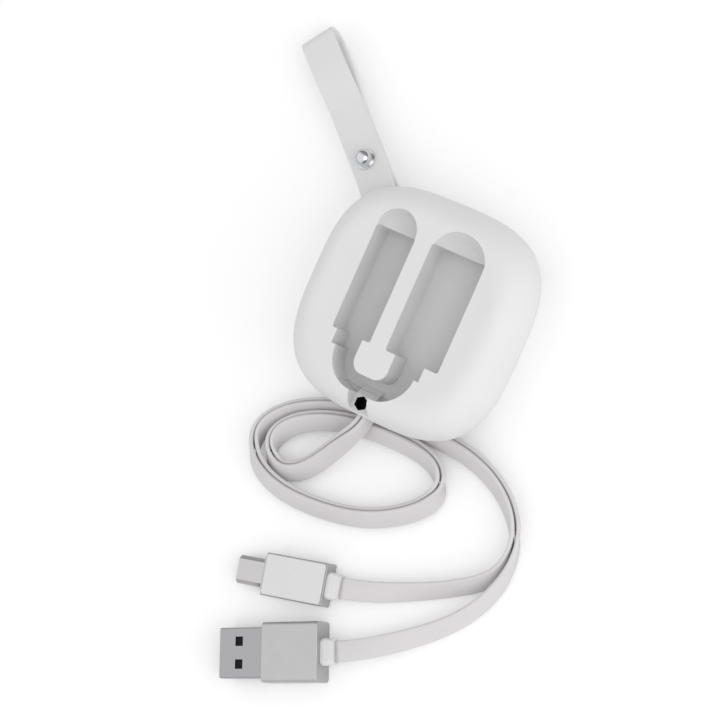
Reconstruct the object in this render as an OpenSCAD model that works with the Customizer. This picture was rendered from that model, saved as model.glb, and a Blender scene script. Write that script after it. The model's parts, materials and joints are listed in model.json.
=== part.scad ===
/* [Case] */
// Width of the soft square case, from side to side
case_w = 56; // [52:0.5:60]
// Length of the case along its recesses
case_l = 54.6; // [53:0.2:58]
// Height of the case as it lies on its back
case_h = 21; // [20.5:0.25:23]
// Squareness of the outline: 2 is a circle, more is squarer
case_power = 3.2; // [2.8:0.1:3.8]
// Height of the widest line of the case
mid_h = 12; // [11.5:0.25:12.5]
// Run of the rounded front edge, seen from the front
face_edge_w = 6.6; // [6:0.2:7.8]
// Width of the flat on the back that the case rests on
back_flat_w = 38; // [36.5:0.25:38.5]
// Radius of the round between the side and the bevelled back
back_round_r = 7.2; // [6.5:0.1:7.4]
// Width of the band in which the face sinks towards its middle
dish_run = 4.5; // [3:0.25:6]
// Depth of the middle of the face below its rim
dish_depth = 0.35; // [0.1:0.05:0.5]
// Wall thickness of both shells
case_wall = 1.8; // [1.5:0.1:1.9]
// Height of the line where the two shells meet
seam_h = 8; // [7.8:0.1:8.6]

/* [Recesses] */
// Depth of the two plug recesses below the face
recess_depth = 7; // [6.7:0.1:7]
// Place of the lower end of the recesses, below the centre of the face
recess_end_y = 10.7; // [10.3:0.1:11]
// Place of the USB-A recess, right of the centre
usb_recess_x = 8.4; // [8.2:0.1:9]
// Place of the micro plug recess, left of the centre
micro_recess_x = 8.8; // [8.4:0.1:9.2]
// Length of the micro plug recess
micro_recess_l = 26; // [25.5:0.25:26.5]
// Gap between a plug body and each side of its recess
recess_clear = 0.25; // [0.15:0.05:0.35]
// Depth of the domed finger scoops
scoop_depth = 3.6; // [3:0.1:3.9]
// Run of the scoop past the end of the USB-A recess
usb_scoop_run = 5; // [4.5:0.1:5.5]
// Run of the scoop past the end of the micro recess
micro_scoop_run = 5.4; // [5:0.1:5.4]
// Length of the boot pockets
boot_pocket_l = 3.5; // [3.4:0.1:3.9]
// Width over both boot pockets
boot_pockets_w = 24.8; // [24:0.1:25.2]
// Width of the island between the two channels
island_w = 9.4; // [9:0.1:9.8]
// Drop of the island below the recesses
island_l = 7.3; // [7:0.1:7.6]
// Corner radius of the island
island_r = 3; // [2.5:0.1:3.4]
// Width over both channels
channels_w = 22.3; // [21.8:0.1:22.8]
// Drop of the joined channels below the recesses
channels_l = 11.7; // [11.4:0.1:12]
// Outer corner radius of the joined channels
channels_r = 8.5; // [8:0.1:8.8]
// Width of the notch where the channels reach the edge
notch_w = 5.4; // [5:0.1:5.8]
// Depth of the notch floor below the face
notch_depth = 4.5; // [4.2:0.1:4.8]
// Distance over the flats of the six-sided hole in the notch
hex_af = 3.1; // [2.8:0.1:3.3]

/* [Strap] */
// Width of the strap
strap_w = 9; // [8:0.25:9.5]
// Thickness of one layer of the strap
strap_t = 1.2; // [1:0.05:1.3]
// Length of the folded strap from its pin to its tip
strap_l = 54; // [48:0.5:58]
// Gap inside the folded tip of the strap
strap_gap = 2.6; // [1.6:0.1:2.7]
// Distance of the rivet from the pin
rivet_at = 15.5; // [14:0.25:18]
// Radius of the rivet's round head
rivet_head_r = 2.1; // [1.8:0.05:2.3]
// Radius of the strap pin
pin_r = 1.1; // [1:0.05:1.15]

/* [Reel] */
// Distance from the reel's flange to the side of the case
reel_side = 5.5; // [5.4:0.05:5.8]
// Outer radius of the hub that the ribbons wind on
hub_r = 12; // [11.5:0.1:12.2]
// Wall thickness of the hub
hub_wall = 1.4; // [1.2:0.1:1.5]
// Radius of the fixed spindle
spindle_r = 2.5; // [2.3:0.05:2.6]
// Thickness of the spring strip
spring_t = 0.35; // [0.3:0.01:0.4]
// Number of turns in the spring
spring_turns = 8; // [6:1:8]
// Radius of the latch ball
ball_r = 1.3; // [1.2:0.02:1.36]
// Number of teeth on the latch ring
latch_teeth = 6; // [4:1:8]

/* [Ribbons] */
// Width of each flat ribbon
ribbon_w = 5; // [4.8:0.05:5]
// Thickness of each flat ribbon
ribbon_t = 1; // [0.9:0.05:1.1]

/* [USB-A plug] */
// Width of the metal shell
usb_shell_w = 12; // [11.9:0.05:12.1]
// Thickness over the metal shell
usb_shell_t = 4.5; // [4.4:0.05:4.6]
// Length of shell that stands out of the body
usb_shell_l = 11.75; // [11.5:0.05:12]
// Width of the body
usb_body_w = 14.2; // [14:0.05:14.6]
// Thickness of the body
usb_body_t = 6.6; // [6.4:0.05:6.8]
// Length of the body
usb_body_l = 14.8; // [14:0.1:15.2]

/* [Micro plug] */
// Width of the metal shell
micro_shell_w = 6.85; // [6.8:0.05:6.9]
// Thickness over the metal shell
micro_shell_t = 1.8; // [1.75:0.05:1.85]
// Length of shell that stands out of the collar
micro_shell_l = 7.2; // [6.8:0.1:7.4]
// Width of the body
micro_body_w = 10.3; // [10:0.05:10.5]
// Thickness of the body over its two plates
micro_body_t = 5.4; // [5.2:0.05:5.8]
// Length of the body
micro_body_l = 16.6; // [16:0.1:17]

/* [Boots] */
// Width of the soft boots behind both plugs
boot_w = 6.6; // [6.3:0.05:6.6]
// Thickness of the boots
boot_t = 3.4; // [3:0.05:3.5]
// Length of the boots
boot_l = 3.3; // [3.1:0.05:3.35]

/* [Hidden] */

// Overrun of every cut past the face that it opens
over = 1;
// Clearance between parts that slide or turn on each other
run_clear = 0.08;
// Clearance between parts that are only assembled
fit_clear = 0.05;
// Clearance round what moves freely inside the case
free_clear = 0.4;

// Case, worked out
aspect = case_l / case_w;
corner_az = 135;
corner_r = case_w / 2 * sqrt(2) / pow(2, 1 / case_power);
face_half = case_w / 2 - face_edge_w;
roof_t = case_wall;
tray_top = case_h - roof_t;
floor_z = case_h - recess_depth;
tray_floor_t = 1;
tray_bottom = floor_z - tray_floor_t;
outline_n = 72;
edge_n = 7;
back_n = 4;
dish_n = 3;

// Recesses, worked out
usb_recess_w = usb_body_w + 2 * recess_clear;
micro_recess_w = micro_body_w + 2 * recess_clear;
usb_recess_l = usb_shell_l + usb_body_l + recess_clear;
pocket_r = 0.6;
channels_x = -0.25;
island_x = -0.7;
notch_x = -0.7;
hex_x = -1.2;
hex_y = -24.3;
hex_floor_t = 0.8;
notch_lip = 1.6;
ramp_l = 2.6;
notch_z = case_h - notch_depth;
channels_foot = -recess_end_y - channels_l;

// The slot that the ribbons leave by
pair_gap = 0.4;
slot_x = -1.6;
ribbon_under_tray = 0.5;
ribbon_z = tray_bottom - ribbon_under_tray - ribbon_w / 2;
slot_clear = 0.3;
slot_w = 2 * ribbon_t + pair_gap + 2 * slot_clear;
slot_h = ribbon_w + 2 * slot_clear;

// Screws, one in each corner but the strap's
screw_inset = 10.6;
screw_at = case_w / 2 - screw_inset;
screw_r = 0.9;
screw_head_r = 1.7;
screw_head_h = 1.2;
screw_l = 9;
screw_z = 4.2;
boss_r = 2.2;
driver_w = 0.6;
driver_d = 0.6;

// Reel
reel_r = case_l / 2 - reel_side;
flange_t = 0.9;
flange_gap = 0.3;
flange_z = ribbon_z - ribbon_w / 2 - flange_gap - flange_t;
reel_lift = 0.5;
reel_bottom = case_wall + reel_lift;
hub_floor_t = 1;
reel_under_tray = 0.35;
reel_top = tray_bottom - reel_under_tray;
cover_t = 0.6;
wound_gap = 0.2;
turn_gap = 0.15;
winding_inset = 0.2;
winding_r = reel_r - winding_inset;
spring_slot_w = 0.6;
spring_gap = 0.35;
latch_ring_r = 13.6;
tooth_h = 0.5;
tooth_w = 3;
ball_at = 16;
ball_under_flange = 1.55;
ball_z = flange_z - ball_under_flange;
ball_travel = 1.4;
cage_wall = 0.9;

// Strap
strap_az = 141;
strap_drop = 7.6;
pin_inset = 5.5;
pin_at = corner_r - pin_inset;
pin_under_tray = 3.6;
pin_z = tray_bottom - pin_under_tray;
ear_t = 1.1;
pin_l = strap_w + 2 * (ear_t + free_clear);
mouth_h = 8.4;
mouth_drop = 3.7;
rivet_flange_r = 2.5;
rivet_flange_t = 0.5;
rivet_head_rise = 0.9;
rivet_shank_r = 0.9;
rivet_cap_t = 0.8;
strap_weld_from = 7;
strap_weld_to = 21;
strap_step = 3;

// Free ends of the ribbons, and the plugs that lie on the floor
usb_end = [12.4, -80.2, usb_body_t / 2];
usb_az = 206;
micro_end = [6.6, -66.4, micro_body_t / 2];
micro_az = 195;

// Shared route of the two ribbons, as x, y, z and lean, from the reel outward
joined_route = [
    [-1.6, -22, 10, 0], [-1.6, -28, 10, 0], [-4, -32, 8.8, 15], [-8, -36.8, 5.8, 35],
    [-12.4, -42.6, 3.4, 46], [-16.4, -46.4, 2.8, 46], [-21, -48.2, 2.8, 46], [-25, -46.2, 2.8, 46],
    [-26.2, -42.4, 2.8, 46], [-24.6, -38.6, 3.2, 46], [-21, -35.4, 3.8, 46], [-15, -32.2, 3.8, 46],
    [-7, -30, 3.8, 46], [2, -29.2, 3.6, 46], [10, -29.2, 3, 46], [15.4, -30.4, 2.8, 46],
    [18.8, -33.4, 2.8, 46], [19.2, -37.4, 2.8, 46], [15.4, -42.6, 2.8, 46], [9, -47.4, 2.8, 46],
    [0, -50.8, 2.8, 46], [-10, -52.2, 3.2, 46], [-19, -52.2, 3.8, 46], [-26.8, -49.6, 3.8, 46],
    [-30.6, -45.2, 3.2, 46], [-30.6, -40.4, 2.8, 46], [-27.6, -36, 2.8, 46], [-22, -31.8, 2.8, 46],
    [-13, -28, 2.8, 46], [-2, -25.6, 2.8, 46], [10, -24.8, 2.8, 46], [20, -24.8, 2.8, 46],
    [28, -26.4, 2.8, 46], [35, -29.6, 2.8, 46], [40.6, -34.6, 2.8, 46], [43.2, -40.6, 2.8, 46]];
// Branch of the micro ribbon after the two part
micro_route = [[42.2, -47.6, 2.8, 46], [36.4, -52.4, 2.8, 46], [28.4, -57.2, 2.8, 46],
    [20.4, -61.2, 2.8, 62], [13.4, -64.4, 2.8, 80]];
// Branch of the USB-A ribbon after the two part
usb_route = [[43.8, -48.2, 2.8, 46], [40.8, -56.2, 2.8, 46], [35, -63.6, 2.8, 52],
    [27.6, -70, 3, 66], [19.4, -76.2, 3.2, 82]];

// Unit vectors and rings of the ribbons
function unit(v) = v / norm(v);
function along(p, i) = unit(p[min(i + 1, len(p) - 1)] - p[max(i - 1, 0)]);
function upright(lean, t) = let (n = [0, sin(lean), cos(lean)]) unit(n - (n * t) * t);
function section(w, t, r) = [
    [w / 2 - r, t / 2], [w / 2, t / 2 - r], [w / 2, r - t / 2], [w / 2 - r, -t / 2],
    [r - w / 2, -t / 2], [-w / 2, r - t / 2], [-w / 2, t / 2 - r], [r - w / 2, t / 2]];
function eased(s) = s * s * (3 - 2 * s);

// Superellipse outline of half width a, as long as the case is for its width
function squircle(a) = [for (i = [0 : outline_n - 1])
    let (c = cos(i * 360 / outline_n), s = sin(i * 360 / outline_n))
    a * [sign(c) * pow(abs(c), 2 / case_power), aspect * sign(s) * pow(abs(s), 2 / case_power)]];

// Solid through squircles stacked as [half width, height]
module stack(layers) {
    n = outline_n;
    m = len(layers);
    points = [for (l = layers) for (p = squircle(l[0])) [p[0], p[1], l[1]]];
    sides = [for (j = [0 : m - 2]) for (i = [0 : n - 1])
        [j * n + i, (j + 1) * n + i, (j + 1) * n + (i + 1) % n, j * n + (i + 1) % n]];
    bottom = [for (i = [0 : n - 1]) i];
    top = [for (i = [n - 1 : -1 : 0]) (m - 1) * n + i];
    polyhedron(points = points, faces = concat(sides, [bottom], [top]));
}

// Outside and inside of the case as stacks of half widths and heights
half = case_w / 2;
back_half = back_flat_w / 2;
back_turn = [for (i = [0 : back_n]) let (a = 45 * (1 - i / back_n))
    [half - back_round_r * (1 - cos(a)), mid_h - back_round_r * sin(a)]];
front_turn = [for (i = [1 : edge_n]) let (a = 90 * i / edge_n)
    [face_half + face_edge_w * cos(a), mid_h + (case_h - mid_h) * sin(a)]];
dish = [for (i = [1 : dish_n])
    [face_half - dish_run * i / dish_n, case_h - dish_depth * eased(i / dish_n)]];
outside = concat([[back_half, 0]], back_turn, front_turn, dish);
cavity_low = back_half + case_wall - case_wall * sqrt(2);
cavity_half = half - case_wall;
tray_top_half = face_half + face_edge_w * cos(asin((tray_top - mid_h) / (case_h - mid_h)));
cavity_top_half = tray_top_half - 2 * case_wall;
cavity = [[cavity_low, case_wall], [cavity_low + flange_z - case_wall, flange_z],
    [cavity_half - case_wall, seam_h + case_wall / 2], [cavity_half, mid_h],
    [cavity_half, floor_z], [cavity_top_half, tray_top]];

// Flat shape of a rectangle with round corners
module round_rect(w, l, r) {
    square([w - 2 * r, l], center = true);
    square([w, l - 2 * r], center = true);
    for (x = [-1, 1], y = [-1, 1]) translate([x * (w / 2 - r), y * (l / 2 - r)]) circle(r = r, $fn = 24);
}

// One recess with its boot pocket, as a cut from the face down
module recess(x, w, l) {
    h = recess_depth + over;
    translate([x, l / 2 - recess_end_y, floor_z]) linear_extrude(h) round_rect(w, l, pocket_r);
}

// Ball-shaped finger scoop past the end of a recess
module scoop(x, w, l, run) {
    end_y = l - recess_end_y;
    r = (w * w / 4 + run * run) / (2 * run);
    ball = (r * r + scoop_depth * scoop_depth) / (2 * scoop_depth);
    intersection() {
        translate([x, end_y + run - r, case_h - scoop_depth + ball]) sphere(r = ball, $fn = 64);
        translate([x - w / 2, end_y - pocket_r, floor_z])
            cube([w, run + pocket_r + over, recess_depth + over]);
    }
}

// Flat shape of the joined channels round the island
module channel_shape() {
    bottom = channels_foot;
    side = channels_w / 2 - channels_r;
    foot = -recess_end_y - island_l;
    core = island_w / 2 - island_r;
    lap = boot_pocket_l / 2;
    difference() {
        union() {
            translate([channels_x - channels_w / 2, bottom + channels_r])
                square([channels_w, -recess_end_y + lap - bottom - channels_r]);
            translate([channels_x - side, bottom]) square([2 * side, 2 * channels_r]);
            for (s = [-1, 1]) translate([channels_x + s * side, bottom + channels_r])
                circle(r = channels_r, $fn = 64);
        }
        translate([island_x - island_w / 2, foot + island_r]) square([island_w, island_l + lap + over]);
        translate([island_x - core, foot]) square([2 * core, island_l + lap]);
        for (s = [-1, 1]) translate([island_x + s * core, foot + island_r]) circle(r = island_r, $fn = 32);
    }
}

// Everything that is cut down from the face
module pockets() {
    left = channels_x - boot_pockets_w / 2;
    right = channels_x + boot_pockets_w / 2;
    boot_y = -recess_end_y - boot_pocket_l;
    pocket_l = boot_pocket_l + pocket_r;
    recess(usb_recess_x, usb_recess_w, usb_recess_l);
    recess(-micro_recess_x, micro_recess_w, micro_recess_l);
    scoop(usb_recess_x, usb_recess_w, usb_recess_l, usb_scoop_run);
    scoop(-micro_recess_x, micro_recess_w, micro_recess_l, micro_scoop_run);
    translate([left, boot_y, floor_z])
        cube([island_x - island_w / 2 - left, pocket_l, recess_depth + over]);
    translate([island_x + island_w / 2, boot_y, floor_z])
        cube([right - island_x - island_w / 2, pocket_l, recess_depth + over]);
    difference() {
        translate([0, 0, floor_z]) linear_extrude(recess_depth + over) channel_shape();
        channel_ramp();
    }
}

// Slope from the floor of the channels up to the floor of the notch
module channel_ramp() {
    top = channels_foot + ramp_l;
    translate([notch_x - notch_w / 2, 0, 0]) rotate([90, 0, 90]) linear_extrude(notch_w)
        polygon([[top, floor_z - over], [top, floor_z], [channels_foot, notch_z],
            [channels_foot - over, notch_z], [channels_foot - over, floor_z - over]]);
}

// The notch and its six-sided hole, cut from the face down
module notch() {
    translate([notch_x - notch_w / 2, -half - over, notch_z])
        cube([notch_w, half + over + channels_foot + notch_lip, notch_depth + over]);
    translate([hex_x, hex_y, tray_bottom + hex_floor_t]) rotate([0, 0, 30])
        cylinder(r = hex_af / 2 / cos(30), h = recess_depth, $fn = 6);
}

// The slot in the edge that the ribbon pair leaves by
module ribbon_slot() {
    translate([slot_x - slot_w / 2, -half - over, ribbon_z - slot_h / 2])
        cube([slot_w, half + over - reel_r - slot_clear, slot_h]);
}

// Places something in the strap's frame: x runs from the pin to the tip
module at_strap() {
    translate([pin_at * cos(corner_az), pin_at * sin(corner_az), pin_z])
        rotate([0, 0, strap_az]) rotate([0, strap_drop, 0]) children();
}

// The mouth in the corner that the strap leaves by, and the pin's seats
module strap_mouth() {
    w = strap_w + 2 * free_clear;
    translate([pin_at * cos(corner_az), pin_at * sin(corner_az), pin_z - mouth_drop])
        rotate([0, 0, strap_az]) translate([-eye_r - free_clear, -w / 2, 0])
        cube([case_w / 4 + eye_r, w, mouth_h]);
    at_strap() rotate([90, 0, 0])
        cylinder(r = pin_r + fit_clear, h = pin_l + 2 * fit_clear, center = true, $fn = 32);
}

// Ears in the corner of the back shell that carry the strap pin
module strap_ears() {
    ear_w = 2 * (pin_r + case_wall);
    intersection() {
        translate([pin_at * cos(corner_az), pin_at * sin(corner_az)]) rotate([0, 0, strap_az])
            for (s = [-1, 1]) translate([-ear_w / 2, s > 0 ? pin_l / 2 - ear_t : -pin_l / 2, case_wall])
                cube([ear_w, ear_t, pin_z - pin_r / 3 - case_wall]);
        stack(cavity);
    }
}

// Screw places
module at_screws() {
    for (p = [[1, 1], [1, -1], [-1, -1]]) translate([p[0] * screw_at, p[1] * screw_at, 0]) children();
}

// Solid foot of the channels, between the tray and the wall of the front shell
module channel_end() {
    difference() {
        translate([channels_x - channels_w / 2 - case_wall, -half, tray_bottom])
            cube([channels_w + 2 * case_wall, half, recess_depth]);
        linear_extrude(case_h) polygon(squircle(cavity_top_half));
    }
}

module front_shell() color("#e6e6e6") {
    difference() {
        union() {
            difference() {
                stack(outside);
                translate([0, 0, -over]) cube([2 * case_w, 2 * case_w, 2 * (seam_h + over)], center = true);
                difference() {
                    stack(cavity);
                    channel_end();
                }
            }
            intersection() {
                at_screws() translate([0, 0, seam_h]) cylinder(r = boss_r, h = case_h - seam_h, $fn = 32);
                stack(outside);
            }
        }
        pockets();
        notch();
        ribbon_slot();
        strap_mouth();
        at_screws() translate([0, 0, screw_z]) cylinder(r = screw_r, h = screw_l, $fn = 24);
    }
}

module connector_tray() color("#c4c4c4") {
    difference() {
        translate([0, 0, tray_bottom]) linear_extrude(recess_depth + tray_floor_t - roof_t)
            polygon(squircle(cavity_top_half - fit_clear));
        pockets();
        notch();
        at_screws() cylinder(r = boss_r + fit_clear, h = 2 * case_h, center = true, $fn = 32);
    }
}

module back_shell() color("#e6e6e6") {
    post_top = tray_bottom - fit_clear;
    difference() {
        union() {
            difference() {
                stack(outside);
                translate([-case_w, -case_w, seam_h]) cube([2 * case_w, 2 * case_w, case_h]);
                stack(cavity);
            }
            translate([0, 0, case_wall / 2]) cylinder(r = spindle_r, h = post_top - case_wall / 2, $fn = 48);
            intersection() {
                at_screws() translate([0, 0, case_wall / 2])
                    cylinder(r = boss_r, h = seam_h - case_wall / 2, $fn = 32);
                stack(outside);
            }
            strap_ears();
            latch_cage();
        }
        ribbon_slot();
        strap_mouth();
        at_screws() {
            translate([0, 0, -over]) cylinder(r = screw_head_r + fit_clear, h = screw_z + over, $fn = 32);
            cylinder(r = screw_r + fit_clear, h = case_h, $fn = 24);
        }
        translate([0, -spring_slot_w / 2, flange_z]) cube([spindle_r + over, spring_slot_w, case_h]);
    }
}

// Two walls and a pad that keep the latch ball under the reel
module latch_cage() {
    w = 2 * (ball_r + run_clear);
    l = 2 * ball_r + ball_travel + 2 * run_clear;
    h = ball_z - ball_r - run_clear - case_wall;
    translate([0, ball_at - ball_r - run_clear, case_wall]) {
        translate([-w / 2, 0, -case_wall / 2]) cube([w, l, h + case_wall / 2]);
        for (s = [-1, 1]) translate([s * (w + cage_wall) / 2 - cage_wall / 2, 0, -case_wall / 2])
            cube([cage_wall, l, h + ball_r + case_wall / 2]);
    }
}

module case_screws() color("#9a9a9e") {
    at_screws() translate([0, 0, screw_z]) difference() {
        union() {
            translate([0, 0, -screw_head_h]) cylinder(r = screw_head_r, h = screw_head_h, $fn = 32);
            cylinder(r = screw_r - fit_clear, h = screw_l - 2 * over, $fn = 24);
        }
        for (a = [0, 90]) translate([0, 0, -screw_head_h]) rotate([0, 0, a])
            cube([2 * screw_r, driver_w, 2 * driver_d], center = true);
    }
}

module reel_spool() color("#d9d9d9") {
    hub_in = hub_r - hub_wall;
    ring_z = ball_z - ball_r;
    ring_h = flange_z + flange_t - ring_z;
    difference() {
        union() {
            translate([0, 0, reel_bottom]) cylinder(r = hub_r, h = reel_top - reel_bottom, $fn = 96);
            translate([0, 0, flange_z]) cylinder(r = reel_r, h = flange_t, $fn = 96);
            translate([0, 0, ring_z]) cylinder(r = latch_ring_r, h = ring_h, $fn = 96);
            for (i = [0 : latch_teeth - 1]) rotate([0, 0, i * 360 / latch_teeth])
                translate([latch_ring_r - tooth_h, -tooth_w / 2, ring_z]) cube([2 * tooth_h, tooth_w, ring_h]);
        }
        translate([0, 0, reel_bottom + hub_floor_t]) cylinder(r = hub_in, h = case_h, $fn = 96);
        translate([0, 0, reel_bottom - over]) cylinder(r = spindle_r + run_clear, h = case_h, $fn = 48);
    }
}

// Band between two radii that winds outward, as one outline
function spiral(r0, r1, t, turns, n) = let (m = turns * n, rise = (r1 - t - r0) / m) concat(
    [for (i = [0 : m]) (r0 + rise * i) * [cos(i * 360 / n), sin(i * 360 / n)]],
    [for (i = [m : -1 : 0]) (r0 + t + rise * i) * [cos(i * 360 / n), sin(i * 360 / n)]]);

module ribbon_winding() color("#dcdcdc") {
    t = 2 * ribbon_t + wound_gap;
    r0 = hub_r + fit_clear;
    turns = floor((winding_r - t - r0) / (t + turn_gap));
    translate([0, 0, ribbon_z - ribbon_w / 2]) linear_extrude(ribbon_w)
        polygon(spiral(r0, winding_r, t, turns, 48));
}

module power_spring() color("#8f9499") {
    r0 = spindle_r + spring_gap;
    r1 = hub_r - hub_wall - spring_gap;
    bottom = reel_bottom + hub_floor_t + spring_gap;
    h = reel_top - cover_t - spring_gap - bottom;
    translate([0, 0, bottom]) linear_extrude(h) polygon(spiral(r0, r1, spring_t, spring_turns, 36));
    translate([spindle_r - spring_slot_w, -spring_t / 2, flange_z + spring_gap])
        cube([spring_gap + spring_slot_w + spring_t / 2, spring_t, bottom + h - flange_z - spring_gap]);
}

module spring_cover() color("#c9cacc") {
    translate([0, 0, reel_top - cover_t]) difference() {
        cylinder(r = hub_r - hub_wall - fit_clear, h = cover_t, $fn = 96);
        translate([0, 0, -over]) cylinder(r = spindle_r + run_clear, h = cover_t + 2 * over, $fn = 48);
    }
}

module latch_ball() color("#b8babd") {
    translate([0, ball_at, ball_z]) sphere(r = ball_r, $fn = 48);
}

module strap_pin() color("#a9abae") {
    at_strap() rotate([90, 0, 0]) cylinder(r = pin_r, h = pin_l, center = true, $fn = 32);
}

// Half thickness of the folded strap at a distance from its pin
eye_r = pin_r + run_clear + strap_t;
tip_half = strap_gap / 2 + strap_t;
function strap_half(x) = x < strap_weld_from
    ? strap_t + (eye_r - strap_t) * (1 - eased(x / strap_weld_from))
    : x < strap_weld_to ? strap_t
    : strap_t + (tip_half - strap_t) * eased(min(1, (x - strap_weld_to) / (strap_l / 4)));
function run(from, to, step) = let (n = round((to - from) / step))
    [for (i = [0 : n]) from + (to - from) * i / n];
function arc(x, r, from, to, n) = [for (i = [0 : n]) let (a = from + (to - from) * i / n)
    [x + r * cos(a), r * sin(a)]];

// Side view of the folded strap between two places, drawn thinner by in, with round or plain ends
module strap_side(in, from, to, eye, tip) {
    xs = run(from, to, strap_step);
    last = len(xs) - 1;
    polygon(concat([for (i = [eye ? 1 : 0 : last]) [xs[i], strap_half(xs[i]) - in]],
        tip ? arc(to, tip_half - in, 72, -72, 12) : [],
        [for (i = [last : -1 : eye ? 1 : 0]) [xs[i], in - strap_half(xs[i])]],
        eye ? arc(from, eye_r - in, 270, 90, 24) : []));
}

module strap() color("#e2e2e2") {
    tip = strap_l - tip_half;
    at_strap() rotate([90, 0, 0]) difference() {
        linear_extrude(strap_w, center = true) strap_side(0, 0, tip, true, true);
        cylinder(r = pin_r + run_clear, h = 2 * strap_w, center = true, $fn = 32);
        linear_extrude(2 * strap_w, center = true) {
            strap_side(strap_t, pin_r / 2, strap_weld_from - strap_t, false, false);
            strap_side(strap_t, strap_weld_to + strap_t, tip, false, true);
        }
        translate([rivet_at, 0, 0]) rotate([90, 0, 0])
            cylinder(r = rivet_shank_r + fit_clear, h = 4 * strap_t, center = true, $fn = 24);
    }
}

module rivet_stud() color("#b9bbbd") {
    at_strap() translate([rivet_at, 0, 0]) {
        translate([0, 0, -strap_t]) cylinder(r = rivet_shank_r, h = 2 * strap_t, $fn = 24);
        translate([0, 0, strap_t]) cylinder(r = rivet_flange_r, h = rivet_flange_t, $fn = 48);
        intersection() {
            translate([0, 0, strap_t + rivet_flange_t + rivet_head_rise]) sphere(r = rivet_head_r, $fn = 48);
            translate([0, 0, strap_t]) cylinder(r = rivet_flange_r, h = 3 * rivet_head_r, $fn = 48);
        }
    }
}

module rivet_back() color("#b9bbbd") {
    at_strap() translate([rivet_at, 0, -strap_t - rivet_cap_t])
        cylinder(r = rivet_flange_r, h = rivet_cap_t, $fn = 48);
}

// Flat ribbon swept along a route, moved sideways by off
module ribbon(route, off, last, last_az) {
    p = [for (r = route) [r[0], r[1], r[2]]];
    way = concat(p, [last]);
    n = len(way);
    m = 8;
    corner = ribbon_t / 4;
    ring = section(ribbon_w, ribbon_t, corner);
    points = [for (i = [0 : n - 1]) let (
        t = i == n - 1 ? [-cos(last_az + 180), -sin(last_az + 180), 0] : along(way, i),
        e = upright(i == n - 1 ? 90 : route[i][3], t),
        s = cross(t, e),
        c = i < len(joined_route) ? way[i] + off * s : way[i])
        for (q = ring) c + q[0] * e + q[1] * s];
    sides = [for (i = [0 : n - 2]) for (j = [0 : m - 1])
        let (a = i * m + j, b = i * m + (j + 1) % m)
        each j < m / 2 ? [[a, b, b + m], [a, b + m, a + m]] : [[a, b, a + m], [b, b + m, a + m]]];
    first = [for (j = [m - 1 : -1 : 0]) j];
    end = [for (j = [0 : m - 1]) (n - 1) * m + j];
    polyhedron(points = points, faces = concat(sides, [first], [end]));
}

pair_off = (ribbon_t + pair_gap) / 2;

module micro_ribbon() color("#dddcdc") {
    ribbon(concat(joined_route, micro_route), pair_off, micro_end, micro_az);
}

module usb_ribbon() color("#dddcdc") {
    ribbon(concat(joined_route, usb_route), -pair_off, usb_end, usb_az);
}

// Places something in a plug's frame: x runs from the ribbon to the tip, z is up
module at_usb() translate(usb_end) rotate([0, 0, usb_az]) children();
module at_micro() translate(micro_end) rotate([0, 0, micro_az]) children();

// Bar along x with a rounded rectangle for a section
module bar(from, to, w, t, r) {
    translate([from, 0, 0]) rotate([90, 0, 90]) linear_extrude(to - from) round_rect(w, t, r);
}

// USB-A plug, from the boot outward
usb_root = boot_l + usb_body_l;
usb_tip = usb_root + usb_shell_l;
shell_seat = 2.6;
shell_wall = 0.32;
shell_r = 0.6;
body_r = 1.1;
tongue_t = 1.84;
tongue_back = 0.9;
window_w = 2.2;
window_l = 2;
window_at = 5.2;
window_apart = 5.4;
contact_t = 0.14;
contact_w_share = 0.09;
contact_l = 7.2;
core_wall = 0.8;
core_back = 2;

module usb_shell() color("#c9cacc") {
    at_usb() difference() {
        bar(usb_root - shell_seat, usb_tip, usb_shell_w, usb_shell_t, shell_r);
        bar(usb_root - shell_seat - over, usb_tip + over, usb_shell_w - 2 * shell_wall,
            usb_shell_t - 2 * shell_wall, shell_r - shell_wall);
        for (s = [-1, 1])
            translate([usb_tip - window_at - window_l / 2, (s * window_apart - window_w) / 2, -usb_shell_t])
            cube([window_l, window_w, 2 * usb_shell_t]);
    }
}

module usb_tongue() color("#1d1d1f") {
    w = usb_shell_w - 2 * shell_wall - 2 * fit_clear;
    h = usb_shell_t - 2 * shell_wall - 2 * fit_clear;
    at_usb() {
        bar(usb_root - shell_seat, usb_root, w, h, shell_r - shell_wall);
        translate([usb_root - shell_seat, shell_r - w / 2, h / 2 - tongue_t])
            cube([shell_seat + usb_shell_l - tongue_back, w - 2 * shell_r, tongue_t]);
    }
}

module usb_contacts() color("#d8b25a") {
    w = usb_shell_w * contact_w_share;
    z = usb_shell_t / 2 - shell_wall - fit_clear - tongue_t - contact_t;
    at_usb() for (s = [-1.5 : 1 : 1.5])
        translate([usb_tip - 2 * tongue_back - contact_l, s * 2 * w - w / 2, z])
        cube([contact_l, w, contact_t]);
}

module usb_core() color("#6b6f73") {
    at_usb() bar(boot_l + core_back, usb_root - shell_seat, usb_body_w - 2 * core_wall - 2 * fit_clear,
        usb_body_t - 2 * core_wall - 2 * fit_clear, body_r / 2);
}

module usb_case() color("#bfbfc0") {
    at_usb() difference() {
        bar(boot_l, usb_root, usb_body_w, usb_body_t, body_r);
        bar(boot_l + core_back - fit_clear, usb_root - shell_seat + fit_clear, usb_body_w - 2 * core_wall,
            usb_body_t - 2 * core_wall, body_r / 2);
        bar(usb_root - shell_seat, usb_root + over, usb_shell_w + 2 * fit_clear,
            usb_shell_t + 2 * fit_clear, shell_r);
    }
}

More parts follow.
